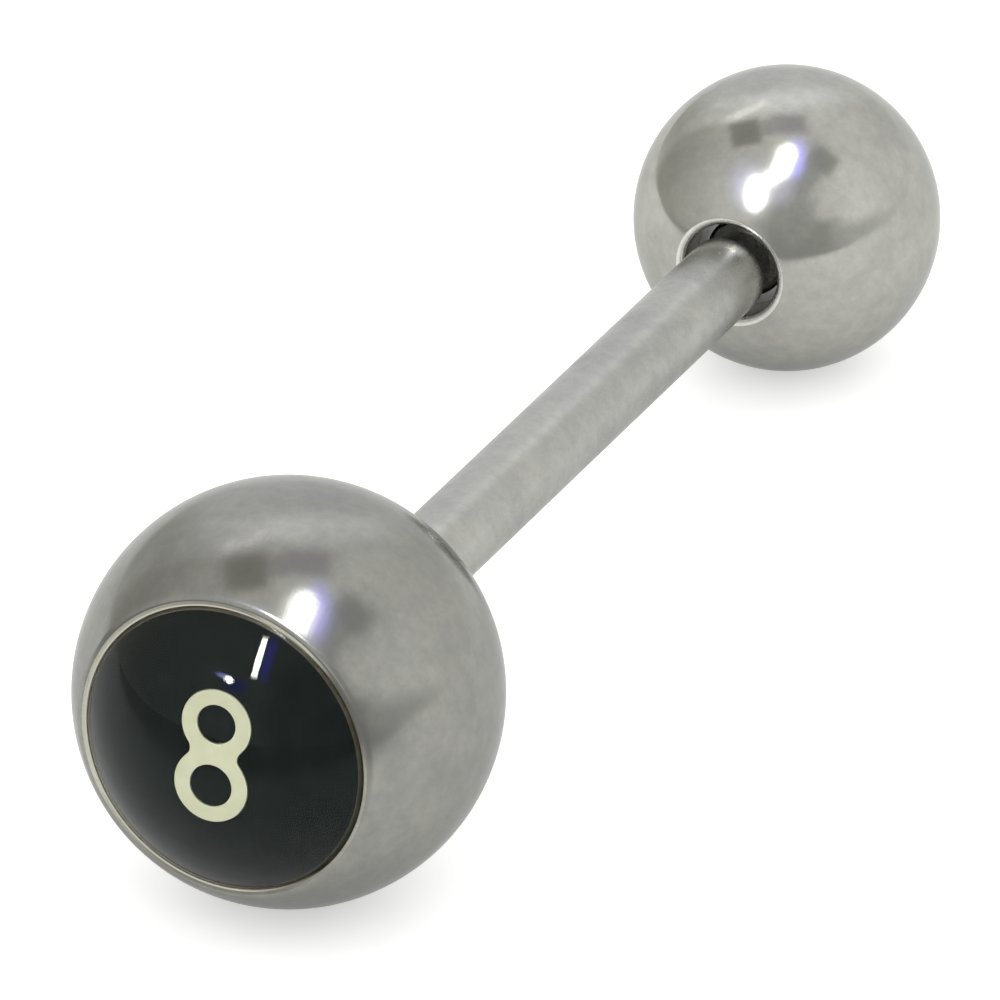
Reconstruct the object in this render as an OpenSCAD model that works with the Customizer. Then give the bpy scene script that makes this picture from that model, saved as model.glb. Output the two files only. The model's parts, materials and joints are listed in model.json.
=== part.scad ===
// Tongue barbell: a straight steel bar with a large inlaid ball at one end and a small plain ball
// that unscrews at the other. It lies on its two balls, bar along Y, inlay towards -Y.
// All sizes are in millimetres and all angles in degrees.

/* [Balls] */
// Diameter of the large ball that holds the inlay
front_d = 8; // [7.5:0.1:9]
// Diameter of the small plain ball
rear_d = 6; // [5:0.1:7]

/* [Bar] */
// Diameter of the bar, 14 gauge
bar_d = 1.6; // [1.2:0.1:1.6]
// Length of bar between the round surfaces of the two balls
bar_len = 16; // [12:0.5:22]
// Width of the flat on the large ball round the bar's shoulder
seat_w = 0.09; // [0.05:0.01:0.2]
// Diameter of the pressed end inside the large ball
spigot_d = 1.2; // [1.0:0.1:1.2]
// Length of the pressed end inside the large ball
spigot_len = 2.5; // [1.5:0.1:3]

/* [Thread] */
// Distance from one thread crest to the next
pitch = 0.35; // [0.25:0.05:0.4]
// Depth of the thread
thread_depth = 0.19; // [0.1:0.01:0.22]
// Number of crests
turns = 9; // [6:1:9]
// How much the threaded end is thinner than the bar, on the radius
thread_relief = 0.02; // [0.01:0.01:0.05]

/* [Hole in the small ball] */
// Diameter of the hole's mouth at the ball's surface
mouth_d = 2.16; // [2.1:0.01:2.4]
// Width of the bevel round the mouth
bevel = 0.1; // [0.05:0.01:0.15]
// Diameter of the wide first stretch of the hole
counterbore_d = 1.94; // [1.8:0.01:2.0]
// Depth of the wide first stretch
counterbore_depth = 0.8; // [0.4:0.1:1.2]
// Free space round the thread's crests, on the radius
thread_gap = 0.03; // [0.02:0.01:0.08]
// Free space past the bar's tip
tip_space = 0.25; // [0.1:0.05:0.5]

/* [Recess] */
// Diameter of the round recess in the large ball
recess_d = 5.62; // [5.6:0.01:5.8]
// Depth of the recess below its lip
recess_depth = 0.42; // [0.3:0.02:0.6]
// Width of the flat lip round the recess
lip_w = 0.17; // [0.05:0.01:0.2]
// Angle by which the recess and its inlay are turned off the bar's axis to the left
inlay_left = 1.18; // [0:0.01:3]
// Angle by which the recess and its inlay are turned off the bar's axis upwards
inlay_up = 0.97; // [0:0.01:3]

/* [Inlay] */
// Diameter of the black disc
disc_d = 5.42; // [4.8:0.01:5.42]
// How far the disc's face lies below the lip
disc_drop = 0.03; // [0.01:0.01:0.1]
// Height of the resin above the lip
dome_rise = 1.23; // [0.6:0.01:1.4]
// Gap that keeps the inlay's pieces apart
gap = 0.02; // [0.01:0.01:0.03]

/* [Numeral] */
// Outer radius of the numeral's upper ring
upper_r = 0.61; // [0.5:0.005:0.65]
// Outer radius of the numeral's lower ring
lower_r = 0.63; // [0.5:0.005:0.65]
// Width of the numeral's stroke
stroke = 0.27; // [0.15:0.01:0.3]
// Distance between the centres of the two rings
ring_span = 1.08; // [1.0:0.005:1.15]
// Radius of the curve where the two rings run together
waist_r = 0.18; // [0.15:0.01:0.4]
// Thickness of the numeral
numeral_t = 0.1; // [0.05:0.01:0.2]
// Angle by which the numeral leans to the right
lean = 2.7; // [0:0.1:10]
// How far the numeral's middle lies to the left of the disc's middle
numeral_left = 0.038; // [0:0.001:0.3]
// How far the numeral's middle lies above the disc's middle
numeral_up = 0.005; // [0:0.001:0.3]

/* [Hidden] */
$fn = 96;
// Overlap of a cutting shape past the face that it opens
past = 1;
// How far the curves at the numeral's waist cut into the rings, so that they cross them cleanly
waist_bite = 0.01;
front_r = front_d / 2;
rear_r = rear_d / 2;
bar_r = bar_d / 2;

// The two ball centres, and the tilt of the bar when both balls touch the ground
ball_span = bar_len + sqrt(pow(front_r, 2) - pow(bar_r, 2)) + sqrt(pow(rear_r, 2) - pow(bar_r, 2));
tilt = asin((front_r - rear_r) / ball_span);

// Heights below are measured outwards from the large ball's centre
recess_r = recess_d / 2;
lip_h = sqrt(pow(front_r, 2) - pow(recess_r + lip_w, 2));
floor_h = lip_h - recess_depth;
disc_h = lip_h - disc_drop;
dome_edge_r = recess_r - gap;
dome_r = (pow(dome_edge_r, 2) + pow(dome_rise, 2)) / (2 * dome_rise);
dome_centre = lip_h + dome_rise - dome_r;

// Distances along the bar from the large ball's centre
seat_h = sqrt(pow(front_r, 2) - pow(bar_r + seat_w, 2));
spigot_start = seat_h - spigot_len;
mouth_h = sqrt(pow(rear_r, 2) - pow(mouth_d / 2, 2));
counterbore_h = mouth_h - counterbore_depth;
bar_end = ball_span - mouth_h;
crest_r = bar_r - thread_relief;
root_r = crest_r - thread_depth;
thread_start = ball_span - counterbore_h - pitch / 2;
thread_end = thread_start + turns * pitch;
bore_r = crest_r + thread_gap;
bore_end = thread_end + tip_space;
// Half angle of a drill's point
drill_half_angle = 59;

// Height of the numeral's upper ring above the numeral's middle
upper_y = ring_span / 2;

// Y of the large ball's centre that puts the middle of the whole part at Y = 0
near_reach = dome_centre * (cos(tilt) * cos(inlay_up) * cos(inlay_left) - sin(tilt) * sin(inlay_up)) + dome_r;
far_reach = ball_span * cos(tilt) + rear_r;
front_y = (near_reach - far_reach) / 2;

// Lays a shape that was drawn with the bar along +Z onto the ground
module lay() {
    translate([0, front_y, front_r])
        rotate([-(90 + tilt), 0, 0])
            children();
}

// Turns a shape so that its +Z points against the bar's direction and its +Y points up
module outward() {
    rotate([180, 0, 0])
        children();
}

// Turns a shape so that its +Z points outwards through the middle of the inlay and its +Y points up
module inlay_side() {
    rotate([180 - inlay_up, inlay_left, 0])
        children();
}

// Plain disc or rod of radius r between two heights
module rod(r, from, to) {
    translate([0, 0, from])
        cylinder(r = r, h = to - from);
}

module front_ball() {
    color([0.72, 0.72, 0.68])
        lay()
            difference() {
                sphere(r = front_r);
                inlay_side() {
                    rod(front_r, lip_h, front_r + past);
                    rod(recess_r, floor_h, front_r);
                }
                rod(front_r, seat_h, front_r + past);
                rod(spigot_d / 2 + gap, spigot_start - gap, front_r);
            }
}

module inlay_disc() {
    color([0.03, 0.03, 0.03])
        lay()
            inlay_side()
                difference() {
                    rod(disc_d / 2, floor_h, disc_h);
                    numeral_shape(disc_h - numeral_t - gap, disc_h + past, gap);
                }
}

// The numeral between two heights, made wider by grow on every side
module numeral_shape(from, to, grow = 0) {
    translate([-numeral_left, numeral_up, 0])
        rotate(-lean)
            difference() {
                union() {
                    translate([0, upper_y, 0])
                        rod(upper_r + grow, from, to);
                    translate([0, -upper_y, 0])
                        rod(lower_r + grow, from, to);
                    waist(from, to, grow);
                }
                translate([0, upper_y, 0])
                    rod(upper_r - stroke - grow, from - past, to + past);
                translate([0, -upper_y, 0])
                    rod(lower_r - stroke - grow, from - past, to + past);
            }
}

// Web between the numeral's two rings, hollowed by a curve on each side
module waist(from, to, grow) {
    // The curve's centre lies at a known distance from each ring's centre
    upper_reach = upper_r + waist_r;
    lower_reach = lower_r + waist_r;
    waist_y = (pow(ring_span, 2) + pow(lower_reach, 2) - pow(upper_reach, 2)) / (2 * ring_span) - upper_y;
    waist_x = sqrt(pow(lower_reach, 2) - pow(waist_y + upper_y, 2));
    difference() {
        translate([0, 0, from])
            linear_extrude(height = to - from)
                polygon([[0, upper_y], [waist_x, waist_y], [0, -upper_y], [-waist_x, waist_y]]);
        for (side = [-1, 1])
            translate([side * waist_x, waist_y, 0])
                rod(waist_r + waist_bite - grow, from - past, to + past);
    }
}

module numeral() {
    color([0.90, 0.91, 0.76])
        lay()
            inlay_side()
                numeral_shape(disc_h - numeral_t, disc_h);
}

// The resin fills the ring round the disc and bulges out of the recess
module resin_dome() {
    color([0.85, 0.88, 0.88, 0.35])
        lay()
            inlay_side()
                difference() {
                    intersection() {
                        translate([0, 0, dome_centre])
                            sphere(r = dome_r);
                        rod(dome_edge_r, floor_h + gap, front_r + past);
                    }
                    rod(disc_d / 2 + gap, floor_h, disc_h + gap);
                }
}

// One V groove of the thread, cut from a rod of the crest's radius
module groove(from) {
    rotate_extrude()
        polygon([
            [root_r, from + pitch / 2],
            [crest_r + thread_relief, from],
            [crest_r + thread_relief, from + pitch]
        ]);
}

// A turned neck of the thread's root radius parts the thread from the bar's smooth skin
module bar() {
    color([0.74, 0.74, 0.70])
        lay() {
            rod(spigot_d / 2, spigot_start, seat_h);
            rod(bar_r, seat_h, bar_end);
            rod(root_r, bar_end, thread_start);
            difference() {
                rod(crest_r, thread_start, thread_end);
                for (turn = [0 : turns - 1])
                    groove(thread_start + turn * pitch);
            }
        }
}

module rear_ball() {
    color([0.76, 0.76, 0.72])
        lay()
            translate([0, 0, ball_span])
                outward()
                    difference() {
                        sphere(r = rear_r);
                        rod(mouth_d / 2, mouth_h, rear_r + past);
                        translate([0, 0, mouth_h - bevel])
                            cylinder(r1 = counterbore_d / 2, r2 = mouth_d / 2, h = bevel);
                        rod(counterbore_d / 2, counterbore_h, mouth_h);
                        rod(bore_r, ball_span - bore_end, mouth_h);
                        drill_point(ball_span - bore_end);
                    }
}

// Cone that a drill leaves at the bottom of its hole
module drill_point(base) {
    depth = bore_r / tan(drill_half_angle);
    translate([0, 0, base - depth])
        cylinder(r1 = 0, r2 = bore_r, h = depth);
}

front_ball();
inlay_disc();
numeral();
resin_dome();
bar();
rear_ball();
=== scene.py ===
"""Tongue barbell of polished steel, lying on its two balls, with a black inlay under clear resin in
the large one."""

import json
import math

import bmesh
import bpy
from mathutils import Matrix, Vector
from mathutils.geometry import tessellate_polygon


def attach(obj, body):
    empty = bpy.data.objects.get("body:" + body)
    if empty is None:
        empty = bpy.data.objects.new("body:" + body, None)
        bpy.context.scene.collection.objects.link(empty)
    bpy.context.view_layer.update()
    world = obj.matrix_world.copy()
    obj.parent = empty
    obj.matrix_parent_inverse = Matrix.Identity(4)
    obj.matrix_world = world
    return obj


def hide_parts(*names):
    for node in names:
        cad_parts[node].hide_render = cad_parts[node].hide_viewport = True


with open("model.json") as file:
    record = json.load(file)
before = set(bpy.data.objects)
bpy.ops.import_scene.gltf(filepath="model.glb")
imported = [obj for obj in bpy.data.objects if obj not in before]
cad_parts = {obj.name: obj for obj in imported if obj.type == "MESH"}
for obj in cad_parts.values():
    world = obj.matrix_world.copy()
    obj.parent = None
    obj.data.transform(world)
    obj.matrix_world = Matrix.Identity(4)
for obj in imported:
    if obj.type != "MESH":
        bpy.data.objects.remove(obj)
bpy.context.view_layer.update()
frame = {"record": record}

# Units: sizes are in millimetres and angles in degrees, and MM turns a size into metres
MM = 0.001

# Balls and bar
FRONT_R = 4.0
REAR_R = 3.0
SEAT_W = 0.09
SPIGOT_R = 0.6
SPIGOT_LEN = 2.5

# Thread
PITCH = 0.35
THREAD_DEPTH = 0.19
THREAD_TURNS = 9
THREAD_RELIEF = 0.02
# Shares of half a turn that the root's flat and the flank take. The crest's flat takes the rest.
ROOT_FLAT = 0.06
FLANK = 0.86
# The thread rises to its full depth over this many turns. At the bar's tip it falls as steeply, to
# this share of its depth.
LEAD_IN = 0.6
TIP_SHARE = 0.25

# Hole in the small ball
MOUTH_R = 1.08
BEVEL = 0.1
COUNTERBORE_R = 0.97
COUNTERBORE_DEPTH = 0.8
THREAD_GAP = 0.03
TIP_SPACE = 0.25
DRILL_HALF_ANGLE = 59

# Recess and inlay
RECESS_R = 2.81
RECESS_DEPTH = 0.42
LIP_W = 0.17
DISC_R = 2.71
DISC_DROP = 0.03
DOME_RISE = 1.23
GAP = 0.02

# Numeral
UPPER_R = 0.61
LOWER_R = 0.63
STROKE = 0.27
RING_SPAN = 1.08
WAIST_R = 0.18
NUMERAL_T = 0.1
LEAN = 2.7
NUMERAL_LEFT = 0.038
NUMERAL_UP = 0.005

# The inlay's axis is turned this much off the bar's, to the left and up as one looks at it
INLAY_LEFT = 1.18
INLAY_UP = 0.97
# Where along the bar's axis the turn of the large ball's surface starts and is full
TURN_START = 1.0
TURN_FULL = -2.0

# How far the resin reaches into what it touches, so that no air lies between them
WETTING = 0.005

# Rounding of the turned edges
SHARP_EDGE = 0.012
SOFT_EDGE = 0.03
BAR_END_ROUNDING = 0.20
MOUTH_ROUNDING = 0.11
LIP_OUTER_ROUNDING = 0.20
LIP_INNER_ROUNDING = 0.02
# The lip has a dark line of painted shade along the recess, in the recess's colour, and then a dull
# part.
# They reach this far over it, from the recess.
DARK_LINE = 0.042
LIP_DULL = 0.105

# A face that lies this much inside a ball's round surface belongs to a turned edge or to a hole
SKIN_DEPTH = 0.003
# Material slots of a ball: its round surface, its turned edge, and its recess or hole. The bar has
# the first two.
SKIN, EDGE, INSIDE = range(3)
# Material slots of the disc: its printed face, and its side and back
FACE, SIDE = range(2)

# Fineness of the meshes
BALL_SEGMENTS = 256
BALL_ROWS = 144
BAR_SEGMENTS = 160
CORNER_STEPS = 8
ROWS_PER_PITCH = 18
FLOOR_SEGMENTS = 96
# Degrees between the points of the numeral's arcs and the disc's rim
ARC_STEP = 4
# Angle on a ball that is left free for the rounding of an edge
ROUNDING_SPAN = 2.5
# Edges that bend by more degrees than this stay sharp
BAR_SHARP_ABOVE = 50
INLAY_SHARP_ABOVE = 30
# A radius in millimetres that counts as none, and an area in square millimetres that counts as none
NO_RADIUS = 1e-6
NO_AREA = 1e-12

# Camera: the photograph's viewing angle, as seen from the part
VIEW_AZIMUTH = 24.5936
VIEW_ELEVATION = 28.6031
VIEW_TARGET = (0.0972, -1.8270, 3.5197)
VIEW_DISTANCE = 308.07
FIELD_OF_VIEW = 3.503
SENSOR_WIDTH = 36
# Nearest and farthest that it sees, in metres
CLIP_NEAR = 0.01
CLIP_FAR = 10

FLOOR_RADIUS = 600
# Tone and glow of the sheet on the floor: as the part mirrors it, as it mirrors it far in front, and
# as the camera sees it
SHEET_MIRRORED = (0.50, 0.25)
SHEET_FAR = (0.21, 0.07)
SHEET_SEEN = (0.72, 0.42)
# The far tone is painted shade: the sheet is darker far in front, out of view, only as the part
# mirrors it
# Where along Y the far tone starts and is full
SHEET_FAR_START = -18
SHEET_FAR_FULL = -32
# Share of the far tone, painted shade, that the resin mirrors everywhere
SHEET_IN_RESIN = 0.35
# Size of the sheet's fibres and how much their tone varies
SHEET_FIBRE = 0.8
SHEET_CONTRAST = 0.01


# Places worked out from the sizes and the frame

mount = frame["record"]["mounts"][0]
bar_r = mount["dims"]["r_mm"]
skin_len = mount["dims"]["length_mm"]
along = Vector(mount["axis"]).normalized()
across = Vector((1, 0, 0))
upward = across.cross(along)
seat_h = math.sqrt(FRONT_R**2 - (bar_r + SEAT_W) ** 2)
skin_middle = Vector(mount["pos_m"]) / MM
front_centre = skin_middle - along * (seat_h + skin_len / 2)
bar_end = seat_h + skin_len
mouth_h = math.sqrt(REAR_R**2 - MOUTH_R**2)
ball_span = bar_end + mouth_h
crest_r = bar_r - THREAD_RELIEF
root_r = crest_r - THREAD_DEPTH
thread_start = bar_end + COUNTERBORE_DEPTH - PITCH / 2
thread_end = thread_start + THREAD_TURNS * PITCH
lip_r = RECESS_R + LIP_W
lip_h = math.sqrt(FRONT_R**2 - lip_r**2)
floor_h = lip_h - RECESS_DEPTH
disc_h = lip_h - DISC_DROP
dome_edge_r = RECESS_R - GAP
dome_r = (dome_edge_r**2 + DOME_RISE**2) / (2 * DOME_RISE)
dome_centre = lip_h + DOME_RISE - dome_r


def inlay_turn(share):
    """Rotation from the bar's axes to the inlay's, about the large ball's centre, or a share of it."""
    aside = Matrix.Rotation(math.radians(INLAY_LEFT * share), 3, -upward)
    return aside @ Matrix.Rotation(math.radians(-INLAY_UP * share), 3, across)


inlay_right = inlay_turn(1) @ across
inlay_top = inlay_turn(1) @ upward
inlay_out = inlay_turn(1) @ -along


# Meshes

def place(r, angle, a, share=0):
    """Point at radius r and an angle about the bar's axis, a millimetres along it from the large
    ball's centre. share is how much of the inlay's turn it takes part in."""
    spoke = across * math.cos(angle) + upward * math.sin(angle)
    return (front_centre + inlay_turn(share) @ (spoke * r + along * a)) * MM


def make_piece(name, points, faces, sharp_above=180, kinds=None):
    """Closed smooth mesh with its faces turned outwards. Edges that bend by more degrees than
    sharp_above stay sharp. kinds gives each face's material slot."""
    mesh = bpy.data.meshes.new(name)
    mesh.from_pydata(points, [], faces)
    shape = bmesh.new()
    shape.from_mesh(mesh)
    if shape.calc_volume(signed=True) < 0:
        bmesh.ops.reverse_faces(shape, faces=shape.faces)
    shape.to_mesh(mesh)
    shape.free()
    mesh.polygons.foreach_set("use_smooth", [True] * len(mesh.polygons))
    if kinds:
        mesh.polygons.foreach_set("material_index", kinds)
    if sharp_above < 180:
        mesh.set_sharp_from_angle(angle=math.radians(sharp_above))
    mesh.update()
    piece = bpy.data.objects.new(name, mesh)
    bpy.context.scene.collection.objects.link(piece)
    return piece


def arc(centre, radius, start, end, steps):
    """Outline points on a circle about a point of the axis. An outline point is (radius, distance
    along the bar, rounding)."""
    points = []
    for i in range(steps + 1):
        angle = math.radians(start + (end - start) * i / steps)
        points.append((radius * math.sin(angle), centre + radius * math.cos(angle), 0))
    return points


def rounded(outline):
    """Outline with every corner that has a rounding replaced by an arc, with a flat row on each side
    of it. A point of the result is (radius, distance along the bar)."""
    result = []
    last = len(outline) - 1
    for i, (r, a, rounding) in enumerate(outline):
        corner = Vector((r, a))
        if not rounding or i in (0, last):
            result.append((r, a))
            continue
        before = Vector(outline[i - 1][:2]) - corner
        after = Vector(outline[i + 1][:2]) - corner
        half = before.angle(after) / 2
        reach = rounding / math.tan(half)
        inwards = (before.normalized() + after.normalized()).normalized()
        middle = corner + inwards * rounding / math.sin(half)
        start = corner + before.normalized() * reach
        end = corner + after.normalized() * reach
        if before.length > 2 * reach + rounding:
            result.append(tuple(start + before.normalized() * rounding))
        turn = (start - middle).angle_signed(end - middle)
        for k in range(CORNER_STEPS + 1):
            spoke = (start - middle).copy()
            spoke.rotate(Matrix.Rotation(-turn * k / CORNER_STEPS, 2))
            result.append(tuple(middle + spoke))
        if after.length > 2 * reach + rounding:
            result.append(tuple(end + after.normalized() * rounding))
    return result


def turned_rows(outline):
    """Rows of a turned surface for skin, from outline points (radius, distance along the bar)."""
    return [(a, None) if r < NO_RADIUS else (a, lambda angle, r=r: r) for r, a in outline]


def skin(rows, segments, share_at=None):
    """Points and faces of a closed surface. A row is (distance along the bar, radius as a function of
    the angle, or None on the axis). share_at gives a row's share of the inlay's turn from its
    distance."""
    points = []
    rings = []
    for a, radius in rows:
        share = share_at(a) if share_at else 0
        if radius is None:
            rings.append([len(points)])
            points.append(place(0, 0, a, share))
            continue
        rings.append([len(points) + k for k in range(segments)])
        for k in range(segments):
            angle = 2 * math.pi * k / segments
            points.append(place(radius(angle), angle, a, share))
    faces = []
    for near, far in zip(rings, rings[1:]):
        for k in range(segments):
            nxt = (k + 1) % segments
            if len(near) == 1:
                faces.append((near[0], far[k], far[nxt]))
            elif len(far) == 1:
                faces.append((near[k], far[0], near[nxt]))
            else:
                faces.append((near[k], far[k], far[nxt], near[nxt]))
    return points, faces


def lathe(name, outline, segments, slot_at=None, share_at=None):
    """Closed piece turned about the bar's axis from an outline that starts and ends on the axis.
    slot_at gives the material slot of a face from its radius and its distance along the bar."""
    outline = rounded(outline)
    kinds = []
    if slot_at:
        for (r0, a0), (r1, a1) in zip(outline, outline[1:]):
            kinds += [slot_at((r0 + r1) / 2, (a0 + a1) / 2)] * segments
    return make_piece(name, *skin(turned_rows(outline), segments, share_at), kinds=kinds)


def ball_surface(centre, ball_r, start, end, start_rounding, end_rounding):
    """Arc of a ball's surface. An end with a rounding becomes a rounded edge."""
    def edge(angle, rounding):
        r, a, _ = arc(centre, ball_r, angle, angle, 1)[0]
        return (r, a, rounding)

    turn = math.copysign(ROUNDING_SPAN, end - start)
    first = start + turn if start_rounding else start
    last = end - turn if end_rounding else end
    points = arc(centre, ball_r, first, last, BALL_ROWS)
    if start_rounding:
        points.insert(0, edge(start, start_rounding))
    if end_rounding:
        points.append(edge(end, end_rounding))
    return points


def polar(r, ball_r):
    """Angle between the axis and the edge of a circle of radius r on a ball."""
    return math.degrees(math.asin(r / ball_r))


def make_front_ball():
    seat_angle = polar(bar_r + SEAT_W, FRONT_R)
    lip_angle = 180 - polar(lip_r, FRONT_R)
    surface = ball_surface(0, FRONT_R, seat_angle, lip_angle, SHARP_EDGE, LIP_OUTER_ROUNDING)
    socket_end = seat_h - SPIGOT_LEN - GAP
    outline = [
        (0, socket_end, 0),
        (SPIGOT_R + GAP, socket_end, SHARP_EDGE),
        (SPIGOT_R + GAP, seat_h, SHARP_EDGE),
        *surface,
        (RECESS_R, -lip_h, LIP_INNER_ROUNDING),
        (RECESS_R, -floor_h, SHARP_EDGE),
        (0, -floor_h, 0),
    ]

    def slot_at(r, a):
        if a > 0 or r > RECESS_R + LIP_DULL:
            return SKIN
        # The dark line of painted shade takes the recess's material
        return INSIDE if r < RECESS_R + DARK_LINE else EDGE

    def share_at(a):
        return min(max((TURN_START - a) / (TURN_START - TURN_FULL), 0), 1)

    return lathe("front_ball_steel", outline, BALL_SEGMENTS, slot_at, share_at)


def make_rear_ball():
    mouth_angle = 180 - polar(MOUTH_R, REAR_R)
    bore_r = crest_r + THREAD_GAP
    bore_end = thread_end + TIP_SPACE
    surface = ball_surface(ball_span, REAR_R, mouth_angle, 0, MOUTH_ROUNDING, 0)
    outline = [
        (0, bore_end + bore_r / math.tan(math.radians(DRILL_HALF_ANGLE)), 0),
        (bore_r, bore_end, SHARP_EDGE),
        (bore_r, bar_end + COUNTERBORE_DEPTH, SHARP_EDGE),
        (COUNTERBORE_R, bar_end + COUNTERBORE_DEPTH, SHARP_EDGE),
        (COUNTERBORE_R, bar_end + BEVEL, MOUTH_ROUNDING),
        *surface,
    ]

    def slot_at(r, a):
        if REAR_R - math.hypot(r, a - ball_span) < SKIN_DEPTH:
            return SKIN
        return INSIDE if a > bar_end + BEVEL + MOUTH_ROUNDING / 2 else EDGE

    return lathe("rear_ball_steel", outline, BALL_SEGMENTS, slot_at)


def thread_radius(turn):
    """Radius of the thread at a place counted in turns, with flat crests and roots."""
    wave = abs(2 * (turn % 1) - 1)
    wave = min(max((wave - ROOT_FLAT) / FLANK, 0), 1)
    return root_r + THREAD_DEPTH * wave


def make_bar():
    """Bar with a pressed end, a turned neck and a helical thread that fades in and out."""
    lead_in = PITCH * LEAD_IN
    plain = rounded([
        (0, seat_h - SPIGOT_LEN, 0),
        (SPIGOT_R, seat_h - SPIGOT_LEN, SOFT_EDGE),
        (SPIGOT_R, seat_h, SHARP_EDGE),
        (bar_r, seat_h, SHARP_EDGE),
        (bar_r, bar_end, BAR_END_ROUNDING),
        (root_r, bar_end, SHARP_EDGE),
        (root_r, thread_start, 0),
    ])
    rows = turned_rows(plain)
    kinds = []
    for (r0, a0), (r1, a1) in zip(plain, plain[1:]):
        # The rounded end takes the lighter steel of the painted highlight
        at_end = (a0 + a1) / 2 > bar_end - BAR_END_ROUNDING and (r0 + r1) / 2 > root_r
        kinds += [EDGE if at_end else SKIN] * BAR_SEGMENTS
    steps = THREAD_TURNS * ROWS_PER_PITCH
    for i in range(1, steps + 1):
        a = thread_start + PITCH * THREAD_TURNS * i / steps
        start = min((a - thread_start) / lead_in, 1)
        end = min((thread_end - a) / lead_in, 1)
        limit = root_r + THREAD_DEPTH * min(start, TIP_SHARE + end)

        def radius(angle, a=a, limit=limit):
            turn = (a - thread_start) / PITCH - angle / (2 * math.pi)
            return min(thread_radius(turn), limit)

        rows.append((a, radius))
    rows.append((thread_end, None))
    kinds += [SKIN] * BAR_SEGMENTS * (steps + 1)
    return make_piece("bar_steel", *skin(rows, BAR_SEGMENTS), BAR_SHARP_ABOVE, kinds)


# Inlay

def on_face(x, y, height):
    """Point on the inlay: x to the right and y up as one looks at it, height outwards from the large
    ball's centre."""
    return (front_centre + inlay_right * x + inlay_top * y + inlay_out * height) * MM


def numeral_point(x, y):
    """Turns and moves a point of the upright numeral to its place on the disc."""
    lean = -math.radians(LEAN)
    return (
        x * math.cos(lean) - y * math.sin(lean) - NUMERAL_LEFT,
        x * math.sin(lean) + y * math.cos(lean) + NUMERAL_UP,
    )


def sweep(centre, radius, start, end):
    """Points of an arc in the face, angles in degrees, without its end."""
    count = max(2, round(abs(end - start) / ARC_STEP))
    points = []
    for i in range(count):
        angle = math.radians(start + (end - start) * i / count)
        x = centre[0] + radius * math.cos(angle)
        y = centre[1] + radius * math.sin(angle)
        points.append((x, y))
    return points


def numeral_loops(grow):
    """Outer loop and the two inner loops of the numeral, wider by grow on every side."""
    top = RING_SPAN / 2
    upper_reach = UPPER_R + WAIST_R
    lower_reach = LOWER_R + WAIST_R
    waist_y = (RING_SPAN**2 + lower_reach**2 - upper_reach**2) / (2 * RING_SPAN) - top
    waist_x = math.sqrt(lower_reach**2 - (waist_y + top) ** 2)
    upper_turn = math.degrees(math.atan2(waist_y - top, waist_x))
    lower_turn = math.degrees(math.atan2(waist_y + top, waist_x))
    hollow = WAIST_R - grow
    outer = (
        sweep((0, top), UPPER_R + grow, upper_turn, 180 - upper_turn)
        + sweep((-waist_x, waist_y), hollow, -upper_turn, -lower_turn)
        + sweep((0, -top), LOWER_R + grow, 180 - lower_turn, 360 + lower_turn)
        + sweep((waist_x, waist_y), hollow, 180 + lower_turn, 180 + upper_turn)
    )
    loops = [outer]
    loops.append(sweep((0, top), UPPER_R - STROKE - grow, 0, 360))
    loops.append(sweep((0, -top), LOWER_R - STROKE - grow, 0, 360))
    return [[numeral_point(*p) for p in loop] for loop in loops]


class FaceMesh:
    """Collects points and faces of a flat-topped piece of the inlay."""

    def __init__(self):
        self.points = []
        self.faces = []
        self.kinds = []

    def loop(self, flat, height):
        first = len(self.points)
        self.points += [on_face(x, y, height) for x, y in flat]
        return list(range(first, len(self.points)))

    def wall(self, low, high, kind=FACE):
        for k in range(len(low)):
            nxt = (k + 1) % len(low)
            self.faces.append((low[k], low[nxt], high[nxt], high[k]))
            self.kinds.append(kind)

    def fill(self, loops, up, kind=FACE):
        """Closes the area between the first loop and the others, facing outwards if up."""
        flat = [i for loop in loops for i in loop]
        shapes = []
        for loop in loops:
            shape = []
            for i in loop:
                offset = self.points[i] / MM - front_centre
                shape.append(Vector((offset.dot(inlay_right), offset.dot(inlay_top), 0)))
            shapes.append(shape)
        spots = [p for shape in shapes for p in shape]
        for tri in tessellate_polygon(shapes):
            a, b, c = (spots[i] for i in tri)
            turn = (b - a).cross(c - a).z
            if abs(turn) < NO_AREA:
                continue
            ordered = tri if (turn > 0) == up else tri[::-1]
            self.faces.append(tuple(flat[i] for i in ordered))
            self.kinds.append(kind)

    def finish(self, name):
        return make_piece(name, self.points, self.faces, INLAY_SHARP_ABOVE, self.kinds)


def make_disc():
    """Printed disc with a pocket that the numeral lies in."""
    body = FaceMesh()
    pocket_h = disc_h - NUMERAL_T - GAP
    rim = sweep((0, 0), DISC_R, 0, 360)
    low = body.loop(rim, floor_h)
    high = body.loop(rim, disc_h)
    loops = numeral_loops(GAP)
    top = [body.loop(loop, disc_h) for loop in loops]
    bottom = [body.loop(loop, pocket_h) for loop in loops]
    body.wall(low, high, kind=SIDE)
    body.fill([low], up=False, kind=SIDE)
    body.fill([high, top[0]], up=True)
    body.fill([top[1]], up=True)
    body.fill([top[2]], up=True)
    body.fill(bottom, up=True)
    body.wall(top[0], bottom[0])
    body.wall(bottom[1], top[1])
    body.wall(bottom[2], top[2])
    return body.finish("inlay_disc_print")


def make_numeral():
    """Plain numeral of two rings, as a thin plate."""
    body = FaceMesh()
    loops = numeral_loops(0)
    bottom = [body.loop(loop, disc_h - NUMERAL_T) for loop in loops]
    top = [body.loop(loop, disc_h) for loop in loops]
    body.fill(bottom, up=False)
    body.fill(top, up=True)
    body.wall(bottom[0], top[0])
    body.wall(top[1], bottom[1])
    body.wall(top[2], bottom[2])
    return body.finish("numeral_print")


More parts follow.
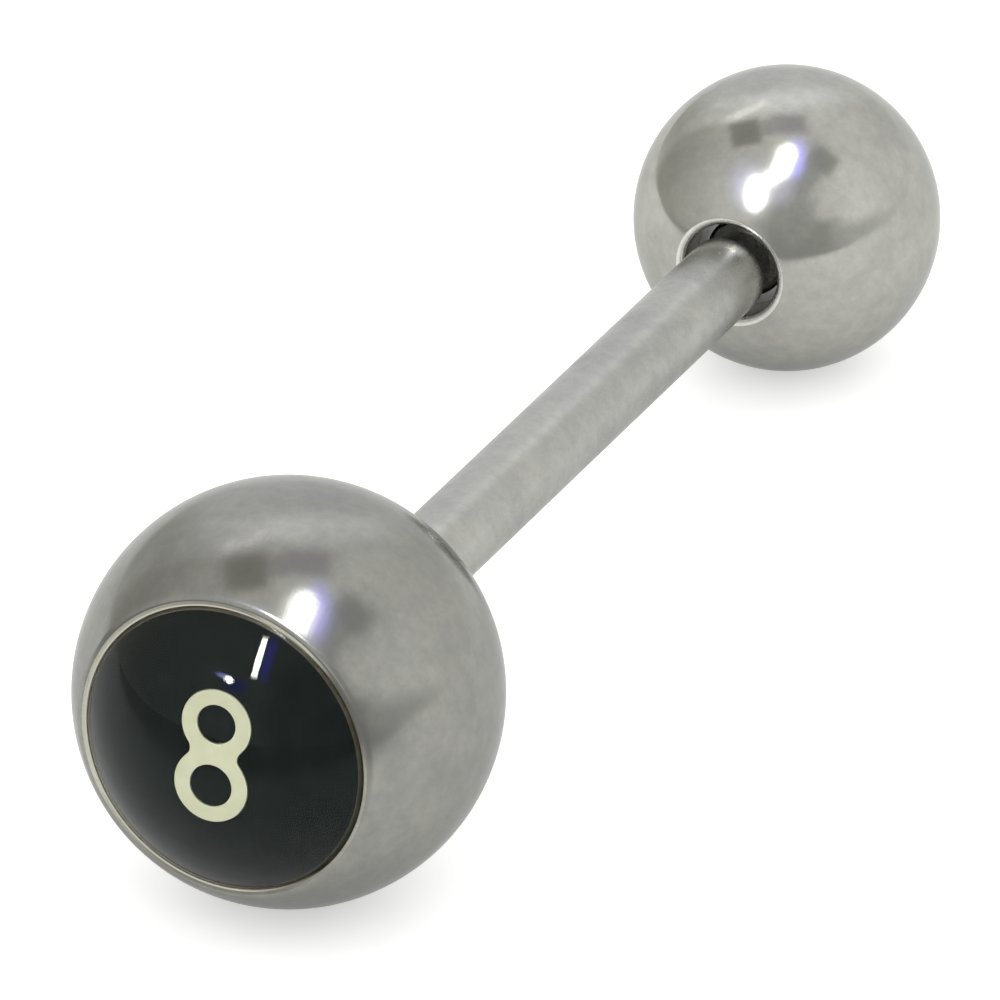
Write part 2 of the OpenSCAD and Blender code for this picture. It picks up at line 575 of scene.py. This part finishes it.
def make_dome():
    """Clear resin: it wets the disc, the numeral and the recess, so its hidden faces lie just
    inside them."""
    edge_angle = math.degrees(math.asin(dome_edge_r / dome_r))
    under = disc_h - NUMERAL_T - GAP - WETTING
    surface = arc(-dome_centre, dome_r, 180 - edge_angle, 180, BALL_ROWS // 2)
    outline = [
        (0, -under, 0),
        (DISC_R - WETTING, -under, 0),
        (DISC_R - WETTING, -floor_h - GAP, 0),
        (RECESS_R + WETTING, -floor_h - GAP, 0),
        (RECESS_R + WETTING, -lip_h + WETTING, 0),
        *surface,
    ]
    return lathe("resin_dome_clear", outline, BALL_SEGMENTS, share_at=lambda a: 1)


# Materials

# Spots of the steel's mottling in millimetres, and its share of the tone
CLOUD_SIZE = 1.3
SPECK_SIZE = 0.28
MOTTLING = 0.09
# Slight cast of the mottling's dark and light spots
COOL_CAST = (0.995, 0.990, 1.005)
WARM_CAST = (1.005, 1.010, 0.985)
# Noise seldom leaves these bounds, one noise alone and the sum of two
NOISE_RANGE = (0.3, 0.7)
TWO_NOISES_RANGE = (0.75, 1.25)
# How many times as rough the steel's dull and shiny spots are as the rest, and how much a dull face's
# roughness varies
DULL_SPOT = 1.25
SHINY_SPOT = 0.8
ROUGH_RANGE = 0.08
# The recess and the line along it are painted dark on the inlay's right and light on its left, as
# painted shade and light. Sideways places of the change in millimetres from the inlay's middle.
SHADE_FROM = 0.4
SHADE_FULL = 2.0
# The lip's tone is painted lighter and darker by side, as painted light and shade: lighter on the
# left, darker at the bottom, a painted highlight at 60 degrees and darker at 30 degrees. A row is a
# direction on the inlay in degrees from its right side, the share of the lip's tone there, and the
# places in millimetres along that direction where it is full and where it ends.
LIP_LIGHT_AND_SHADE = [
    (180, 1.35, 2.6, 0.3),
    (270, 0.50, 2.7, 1.2),
    (60, 1.90, 2.83, 2.70),
    (30, 0.45, 2.83, 2.62),
]
# The tent is near, so the small ball mirrors it from another place. This stands in for that.
REAR_TURN = (0.08, 0.0)
# Share of the plain metal's glare that is left where one looks along its surface
STEEL_GRAZING = 0.8

# Clear resin: colours of its smears, their size, how much it bends light, how strongly it mirrors, its
# waves as a layer of relief, and the light that passes on to what lies under it
RESIN_SMEARS = ((0.96, 0.97, 0.94), (0.98, 0.99, 0.965))
RESIN_SMEAR_SIZE = 0.7
RESIN_IOR = 1.5
RESIN_MIRROR = (0.35, 0.42, 0.39)
RESIN_WAVES = ((0, 0, 0), (0.6, 0.6, 0.6), 0.004)
RESIN_LETS_IN = (0.92, 0.93, 0.90)


class Shader:
    """Short way to write a node tree."""

    def __init__(self, tree):
        self.tree = tree
        tree.nodes.clear()

    def node(self, kind, inputs=None, **settings):
        made = self.tree.nodes.new(kind)
        for name, value in settings.items():
            setattr(made, name, value)
        for key, value in (inputs or {}).items():
            socket = made.inputs[key]
            if isinstance(value, bpy.types.NodeSocket):
                self.tree.links.new(value, socket)
            else:
                socket.default_value = value
        return made

    def spread(self, value, low, high, from_low=0.0, from_high=1.0):
        """Value moved from one range to another, and kept inside it."""
        inputs = {
            "Value": value,
            "From Min": from_low,
            "From Max": from_high,
            "To Min": low,
            "To Max": high,
        }
        return self.node("ShaderNodeMapRange", inputs).outputs["Result"]

    def math(self, operation, *values):
        inputs = dict(enumerate(values))
        return self.node("ShaderNodeMath", inputs, operation=operation).outputs[0]

    def vector(self, operation, *values):
        inputs = dict(enumerate(values))
        return self.node("ShaderNodeVectorMath", inputs, operation=operation).outputs

    def blend(self, factor, first, second):
        """Mix of two colours."""
        inputs = {"Factor": factor, 6: first, 7: second}
        return self.node("ShaderNodeMix", inputs, data_type="RGBA").outputs[2]

    def noise(self, place, size, detail=2.0, roughness=0.5):
        """Noise whose spots are about size millimetres across."""
        inputs = {"Vector": place, "Scale": 1 / size, "Detail": detail, "Roughness": roughness}
        return self.node("ShaderNodeTexNoise", inputs).outputs["Fac"]

    def stretched(self, place, turn, stretch):
        """Place turned by some degrees about each axis and scaled along it."""
        angles = tuple(math.radians(t) for t in turn)
        inputs = {"Vector": place, "Rotation": angles, "Scale": stretch}
        return self.node("ShaderNodeMapping", inputs).outputs["Vector"]


def new_material(name):
    material = bpy.data.materials.new(name)
    material.use_nodes = True
    return material, Shader(material.node_tree)


def opaque(colour):
    """Colour with an alpha of one, as the sockets want it."""
    return tuple(colour) + (1,)


def millimetres(shader):
    """The place on the part in millimetres."""
    here = shader.node("ShaderNodeTexCoord").outputs["Object"]
    return shader.vector("MULTIPLY", here, (1 / MM,) * 3)["Vector"]


def relief(shader, here, layers):
    """Surface normal from several noises. A layer is (turn, stretch, depth): the noise's spots are
    about one millimetre across divided by the stretch, and its depth is in millimetres."""
    height = 0.0
    for turn, stretch, depth in layers:
        noise = shader.noise(shader.stretched(here, turn, stretch), 1.0)
        height = shader.math("MULTIPLY_ADD", noise, depth, height)
    inputs = {"Strength": 1.0, "Distance": MM, "Height": height}
    return shader.node("ShaderNodeBump", inputs).outputs["Normal"]


def along_axis(shader, here, axis):
    """Place along an axis through the large ball's centre, in millimetres."""
    offset = shader.vector("SUBTRACT", here, tuple(front_centre))["Vector"]
    return shader.vector("DOT_PRODUCT", offset, tuple(axis))["Value"]


def steel(name, tone, tint, rough, layers, turn=None, metallic=1.0, light_and_shade=()):
    """Polished steel with a cloudy, finely mottled tone, uneven gloss, waves and polishing lines.
    turn is added to its normal, to the right and up in the photograph's view. The last argument lists
    painted light and shade on the tone: (axis, share of the tone, place where it is full, place where
    it ends)."""
    material, shader = new_material(name)
    here = millimetres(shader)
    clouds = shader.noise(here, CLOUD_SIZE)
    specks = shader.noise(here, SPECK_SIZE, detail=3.0, roughness=0.7)
    both = shader.math("ADD", clouds, specks)
    dark = [tone * share * (1 - MOTTLING) * cast for share, cast in zip(tint, COOL_CAST)]
    light = [tone * share * (1 + MOTTLING) * cast for share, cast in zip(tint, WARM_CAST)]
    patchy = shader.spread(both, 0, 1, *TWO_NOISES_RANGE)
    colour = shader.blend(patchy, opaque(dark), opaque(light))
    # Painted light and shade: the tone is scaled along each listed axis
    for axis, share, full, end in light_and_shade:
        scale = shader.spread(along_axis(shader, here, axis), share, 1, full, end)
        inputs = {0: colour, "Scale": scale}
        colour = shader.node("ShaderNodeVectorMath", inputs, operation="SCALE").outputs[0]
    normal = relief(shader, here, layers)
    if turn:
        right, up, _ = camera_axes()
        moved = shader.vector("ADD", normal, tuple(right * turn[0] + up * turn[1]))["Vector"]
        normal = shader.vector("NORMALIZE", moved)["Vector"]
    surface = shader.node("ShaderNodeBsdfPrincipled", {
        "Base Color": colour,
        "Metallic": metallic,
        "Specular Tint": opaque((STEEL_GRAZING,) * 3),
        "Roughness": shader.spread(both, rough * DULL_SPOT, rough * SHINY_SPOT, *TWO_NOISES_RANGE),
        "Normal": normal,
    })
    shader.node("ShaderNodeOutputMaterial", {"Surface": surface.outputs[0]})
    return material


def matte(name, dark, light, size, rough, lit_side=None):
    """Dull face whose tone varies between two colours in patches of a size. The last argument is its
    lighter colour on the inlay's left: painted light there, where the rest stays darker."""
    material, shader = new_material(name)
    here = millimetres(shader)
    patches = shader.spread(shader.noise(here, size, detail=4.0), 0, 1, *NOISE_RANGE)
    colour = shader.blend(patches, opaque(dark), opaque(light))
    if lit_side:
        # Painted light on the inlay's left, painted shade on its right
        shade_share = shader.spread(along_axis(shader, here, inlay_right), 0, 1, SHADE_FROM, SHADE_FULL)
        colour = shader.blend(shade_share, opaque(lit_side), colour)
    surface = shader.node("ShaderNodeBsdfPrincipled", {
        "Base Color": colour,
        "Roughness": shader.spread(patches, rough - ROUGH_RANGE, rough + ROUGH_RANGE),
        "Specular IOR Level": 0.0,
    })
    shader.node("ShaderNodeOutputMaterial", {"Surface": surface.outputs[0]})
    return material


def resin(name):
    """Clear cast resin with a wet gloss and the faintest waves. The studio's light passes through."""
    material, shader = new_material(name)
    here = millimetres(shader)
    smears = shader.spread(shader.noise(here, RESIN_SMEAR_SIZE, detail=4.0), 0, 1, *NOISE_RANGE)
    glass = shader.node("ShaderNodeBsdfPrincipled", {
        "Base Color": shader.blend(smears, *(opaque(colour) for colour in RESIN_SMEARS)),
        "Roughness": 0.0,
        "IOR": RESIN_IOR,
        "Specular Tint": opaque(RESIN_MIRROR),
        "Transmission Weight": 1.0,
        "Normal": relief(shader, here, [RESIN_WAVES]),
    })
    clear = shader.node("ShaderNodeBsdfTransparent", {"Color": opaque(RESIN_LETS_IN)})
    rays = shader.node("ShaderNodeLightPath")
    both = shader.node("ShaderNodeMixShader", {
        0: rays.outputs["Is Shadow Ray"],
        1: glass.outputs[0],
        2: clear.outputs[0],
    })
    shader.node("ShaderNodeOutputMaterial", {"Surface": both.outputs[0]})
    return material


# Stage

def make_floor():
    """Large pale sheet that the part lies on."""
    points = [(0, 0, 0)]
    faces = []
    for k in range(FLOOR_SEGMENTS):
        angle = 2 * math.pi * k / FLOOR_SEGMENTS
        points.append((FLOOR_RADIUS * MM * math.cos(angle), FLOOR_RADIUS * MM * math.sin(angle), 0))
        faces.append((0, 1 + k, 1 + (k + 1) % FLOOR_SEGMENTS))
    floor = make_piece("floor", points, faces)
    material, shader = new_material("pale_sheet")
    here = millimetres(shader)
    fibres = shader.noise(here, SHEET_FIBRE, detail=4.0)
    tone = shader.spread(fibres, 0, 1, *NOISE_RANGE)
    layers = []
    for shade, glow in (SHEET_MIRRORED, SHEET_FAR, SHEET_SEEN):
        pair = [opaque((shade + side * SHEET_CONTRAST,) * 3) for side in (-1, 1)]
        colour = shader.blend(tone, *pair)
        dull = shader.node("ShaderNodeBsdfDiffuse", {"Color": colour})
        bright = shader.node("ShaderNodeEmission", {"Color": (1, 1, 1, 1), "Strength": glow})
        both = shader.node("ShaderNodeAddShader", {0: dull.outputs[0], 1: bright.outputs[0]})
        layers.append(both.outputs[0])
    # Painted shade: the sheet is darker far in front, for mirrored rays only
    place_y = shader.node("ShaderNodeSeparateXYZ", {0: here}).outputs["Y"]
    far = shader.spread(place_y, 1, 0, SHEET_FAR_FULL, SHEET_FAR_START)
    rays = shader.node("ShaderNodeLightPath").outputs
    far = shader.math("MULTIPLY", far, rays["Is Glossy Ray"])
    resin_mirrors = shader.math("MULTIPLY", rays["Is Singular Ray"], rays["Is Reflection Ray"])
    in_resin = shader.math("MULTIPLY", resin_mirrors, SHEET_IN_RESIN)
    far = shader.math("MAXIMUM", far, in_resin)
    pair = {0: far, 1: layers[0], 2: layers[1]}
    mirrored = shader.node("ShaderNodeMixShader", pair).outputs[0]
    pair = {0: rays["Is Camera Ray"], 1: mirrored, 2: layers[2]}
    surface = shader.node("ShaderNodeMixShader", pair)
    shader.node("ShaderNodeOutputMaterial", {"Surface": surface.outputs[0]})
    floor.data.materials.append(material)


# The studio's lights and dark flags, far from the part. Places are on the unit disc of a mirror ball
# that is looked at along the camera's angle: x to the right and y up, in ball radii, as are the half
# sizes w and h. roll turns a shape counter-clockwise by degrees, and soft is the share of its size
# over which the edge fades. A later shape lies over the earlier ones.
TENT = (0.92, 0.92, 0.90)
# Even light of the tent on what doesn't mirror it
SOFT_LIGHT = (1.47, 1.47, 1.44)
STUDIO = [
    # name, seen by, shape, x, y, w, h, roll, soft, colour
    ("top_rim", "all", "oval", 0.00, 1.00, 0.55, 0.30, 0, 0.8, (0.92, 0.92, 0.95)),
    ("left_rim", "all", "oval", -1.00, 0.35, 0.36, 0.75, 0, 0.8, (0.72, 0.72, 0.70)),
    ("left_top_shade", "all", "oval", -0.66, 0.68, 0.24, 0.14, 40, 0.8, (0.60, 0.60, 0.58)),
    ("right_top_shade", "all", "oval", 0.66, 0.70, 0.24, 0.20, -30, 0.8, (0.84, 0.84, 0.82)),
    ("right_glow", "all", "oval", 0.49, 0.10, 0.18, 0.20, 0, 0.8, (1.07, 1.07, 1.05)),
    ("left_wall", "steel", "oval", -0.40, 0.14, 0.45, 0.49, 0, 0.08, (0.46, 0.455, 0.42)),
    ("left_wall_soft", "resin", "oval", -0.40, 0.14, 0.44, 0.48, 0, 0.40, (0.46, 0.455, 0.42)),
    ("left_glow", "all", "oval", -0.13, 0.05, 0.46, 0.60, 0, 0.6, (0.86, 0.86, 0.84)),
    ("ceiling", "all", "oval", 0.08, 0.755, 0.34, 0.055, 0, 0.8, (1.20, 1.20, 1.24)),
    ("ceiling_seam", "all", "box", -0.170, 0.705, 0.15, 0.022, 21, 0.5, (1.45, 1.43, 1.45)),
    ("table_far", "all", "box", 0.46, -0.13, 0.27, 0.09, 14, 0.6, (0.66, 0.67, 0.65)),
    ("table_edge", "all", "box", 0.14, -0.15, 0.24, 0.12, 3, 0.4, (0.43, 0.44, 0.42)),
    ("centre_shade", "all", "oval", 0.09, 0.0, 0.16, 0.17, 0, 0.5, (0.52, 0.53, 0.51)),
    ("right_stem", "steel", "box", 0.195, 0.25, 0.18, 0.075, 54, 0.4, (0.53, 0.54, 0.53)),
    ("right_flag", "steel", "box", 0.300, 0.355, 0.090, 0.066, -40, 0.3, (0.46, 0.47, 0.45)),
    ("flag_join", "steel", "box", -0.065, 0.580, 0.055, 0.055, 2, 0.3, (0.56, 0.55, 0.56)),
    ("top_flag", "steel", "box", 0.085, 0.595, 0.115, 0.06, -4, 0.3, (0.55, 0.53, 0.57)),
    ("left_flag", "steel", "box", -0.197, 0.553, 0.098, 0.085, 8, 0.25, (0.38, 0.37, 0.345)),
    ("main_fringe", "steel", "oval", 0.130, 0.365, 0.055, 0.12, -8, 0.5, (1.05, 1.00, 2.40)),
    ("join_haze", "steel", "oval", 0.010, 0.180, 0.095, 0.095, 0, 0.8, (0.96, 0.95, 1.16)),
    ("strip_haze", "steel", "oval", -0.18, 0.20, 0.11, 0.13, 0, 0.7, (1.18, 1.18, 1.52)),
    ("strip_blob", "steel", "oval", -0.133, 0.152, 0.054, 0.095, -6, 0.4, (15.0, 15.0, 15.0)),
    ("main_join", "steel", "oval", -0.030, 0.250, 0.045, 0.050, -30, 0.5, (4.5, 4.5, 4.5)),
    ("main_foot", "steel", "oval", 0.036, 0.310, 0.055, 0.074, -30, 0.3, (6.0, 6.0, 6.0)),
    ("main_top", "steel", "oval", 0.069, 0.390, 0.053, 0.072, -22, 0.3, (7.0, 7.0, 7.0)),
    ("blue_glow", "resin", "oval", -0.235, 0.045, 0.050, 0.030, 0, 0.8, (0.5, 0.5, 2.4)),
    ("strip_fringe", "resin", "box", -0.078, 0.175, 0.022, 0.088, -16, 0.6, (1.0, 0.8, 5.0)),
    ("strip_light", "resin", "box", -0.122, 0.183, 0.014, 0.092, -16, 0.25, (125.0, 104.0, 98.0)),
    ("small_tail", "resin", "oval", -0.296, 0.092, 0.030, 0.011, -22, 0.8, (9.0, 8.0, 20.0)),
    ("small_light", "resin", "oval", -0.270, 0.076, 0.022, 0.015, -25, 0.5, (110.0, 95.0, 112.0)),
]


def camera_axes():
    """Right, up and back directions of the photograph's view."""
    azimuth = math.radians(VIEW_AZIMUTH)
    elevation = math.radians(VIEW_ELEVATION)
    level = Vector((math.sin(azimuth), -math.cos(azimuth), 0))
    back = level * math.cos(elevation) + Vector((0, 0, math.sin(elevation)))
    right = Vector((math.cos(azimuth), math.sin(azimuth), 0))
    return right, back.cross(right), back


def make_studio():
    """World: a white tent with lights and dark flags, which shows in reflections only."""
    world = bpy.data.worlds.new("studio")
    bpy.context.scene.world = world
    world.use_nodes = True
    shader = Shader(world.node_tree)
    right, up, back = camera_axes()

    direction = shader.node("ShaderNodeTexCoord").outputs["Generated"]
    towards = shader.vector("ADD", direction, tuple(back))["Vector"]
    halfway = shader.vector("NORMALIZE", towards)["Vector"]
    x = shader.vector("DOT_PRODUCT", halfway, tuple(right))["Value"]
    y = shader.vector("DOT_PRODUCT", halfway, tuple(up))["Value"]
    chart = shader.node("ShaderNodeCombineXYZ", {"X": x, "Y": y}).outputs["Vector"]
    colour = opaque(TENT)
    rays = shader.node("ShaderNodeLightPath").outputs
    # Only the resin is so smooth that what it mirrors arrives on singular rays
    resin_sees = rays["Is Singular Ray"]
    steel_sees = shader.math("SUBTRACT", 1.0, resin_sees)
    for name, seen_by, shape, cx, cy, w, h, roll, soft, light in STUDIO:
        inputs = {
            "Vector": chart,
            "Location": (cx, cy, 0),
            "Rotation": (0, 0, math.radians(roll)),
            "Scale": (w, h, 1),
        }
        moved = shader.node("ShaderNodeMapping", inputs, vector_type="TEXTURE", label=name)
        local = moved.outputs["Vector"]
        if shape == "oval":
            distance = shader.vector("LENGTH", local)["Value"]
        else:
            reach = shader.vector("ABSOLUTE", local)["Vector"]
            split = shader.node("ShaderNodeSeparateXYZ", {0: reach}).outputs
            distance = shader.math("MAXIMUM", split["X"], split["Y"])
        edge = {"Value": distance, "From Min": 1 + soft, "From Max": 1 - soft}
        fade = shader.node("ShaderNodeMapRange", edge, interpolation_type="SMOOTHSTEP")
        mask = fade.outputs["Result"]
        if seen_by != "all":
            mask = shader.math("MULTIPLY", mask, resin_sees if seen_by == "resin" else steel_sees)
        colour = shader.blend(mask, colour, opaque(light))
    plain = shader.node("ShaderNodeBackground", {"Color": opaque(SOFT_LIGHT), "Strength": 1.0})
    mirrored = shader.node("ShaderNodeBackground", {"Color": colour, "Strength": 1.0})
    surface = shader.node("ShaderNodeMixShader", {
        0: rays["Is Glossy Ray"],
        1: plain.outputs[0],
        2: mirrored.outputs[0],
    })
    shader.node("ShaderNodeOutputWorld", {"Surface": surface.outputs[0]})


def make_camera():
    right, up, back = camera_axes()
    data = bpy.data.cameras.new("view")
    data.sensor_width = SENSOR_WIDTH
    data.lens = data.sensor_width / 2 / math.tan(math.radians(FIELD_OF_VIEW / 2))
    data.clip_start = CLIP_NEAR
    data.clip_end = CLIP_FAR
    camera = bpy.data.objects.new("view", data)
    bpy.context.scene.collection.objects.link(camera)
    turn = Matrix((right, up, back)).transposed().to_4x4()
    spot = (Vector(VIEW_TARGET) + back * VIEW_DISTANCE) * MM
    camera.matrix_world = Matrix.Translation(spot) @ turn
    bpy.context.scene.camera = camera


# Materials of the pieces

# Relief of each kind of surface: waves, and polishing or drawing lines
ball_layers = [
    ((0, 0, 0), (0.8, 0.8, 0.8), 0.004),
    ((20, 35, 10), (1.2, 14, 1.2), 0.0006),
    ((70, -20, 50), (16, 1.4, 1.4), 0.0005),
]
bar_layers = [
    ((0, 0, 0), (0.9, 0.5, 0.9), 0.003),
    ((0, 0, 0), (22, 0.7, 22), 0.0007),
]
edge_layers = [((0, 0, 0), (2, 2, 2), 0.003)]
inside_layers = [((0, 0, 0), (3, 3, 3), 0.004)]

# Steels: name, tone, tint, roughness, relief
front_steel = steel("front_steel", 0.335, (1.0, 1.0, 0.935), 0.17, ball_layers)
rear_steel = steel("rear_steel", 0.465, (1.0, 1.0, 0.93), 0.135, ball_layers, turn=REAR_TURN)
bar_steel = steel("bar_steel", 0.452, (1.0, 1.0, 0.95), 0.25, bar_layers)
# The bar's rounded end has a much lighter copy of the bar's steel: a painted highlight
bar_end_steel = steel("bar_end_steel", 0.92, (1.0, 1.0, 0.97), 0.12, edge_layers)
# The lip's steel is lighter than the ball's, and is painted lighter or darker by side: painted light
# and shade
lip_light_and_shade = []
for degrees, *shading in LIP_LIGHT_AND_SHADE:
    angle = math.radians(degrees)
    lip_light_and_shade.append((inlay_right * math.cos(angle) + inlay_top * math.sin(angle), *shading))
lip_steel = steel("lip_steel", 0.46, (1.0, 1.0, 0.87), 0.38, edge_layers, light_and_shade=lip_light_and_shade)
# The small ball's rounded mouth has a much lighter copy of its steel: painted light along the rim
rim_steel = steel("rim_steel", 0.82, (1.0, 1.0, 0.95), 0.25, edge_layers)
hole_steel = steel("hole_steel", 0.45, (1.0, 1.0, 0.98), 0.30, inside_layers, metallic=0.8)

# Dull faces: name, dark and light colour, size of the patches in millimetres, roughness
# The recess's colour: painted lighter on the inlay's left and dark elsewhere, as painted light and
# shade
seat_lit_side = (0.50, 0.49, 0.41)
seat = matte("seat", (0.022, 0.022, 0.012), (0.036, 0.034, 0.020), 0.3, 0.6, lit_side=seat_lit_side)
black = matte("black_print", (0.0092, 0.0122, 0.0120), (0.0128, 0.0158, 0.0150), 0.5, 0.5)
disc_edge = matte("disc_edge", (0.34, 0.29, 0.21), (0.42, 0.36, 0.27), 0.3, 0.6)
cream = matte("cream_print", (0.90, 0.915, 0.64), (0.95, 0.96, 0.70), 0.3, 0.6)
clear = resin("clear_resin")


# Assembly

PARTS = [
    # maker, materials, node, body, slot
    (make_front_ball, [front_steel, lip_steel, seat], "front_ball", "barbell", "steel"),
    (make_disc, [black, disc_edge], "inlay_disc", "barbell", "black_inlay"),
    (make_numeral, [cream], "numeral", "barbell", "pale_numeral"),
    (make_dome, [clear], "resin_dome", "barbell", "clear_resin"),
    (make_bar, [bar_steel, bar_end_steel], "bar", "barbell", "steel_bar"),
    (make_rear_ball, [rear_steel, rim_steel, hole_steel], "rear_ball", "screw_ball", "steel"),
]

make_camera()
make_studio()
make_floor()
for maker, materials, node, body, slot in PARTS:
    piece = maker()
    for material in materials:
        piece.data.materials.append(material)
    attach(piece, body)
    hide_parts(node)

bpy.context.scene.view_settings.view_transform = "Standard"
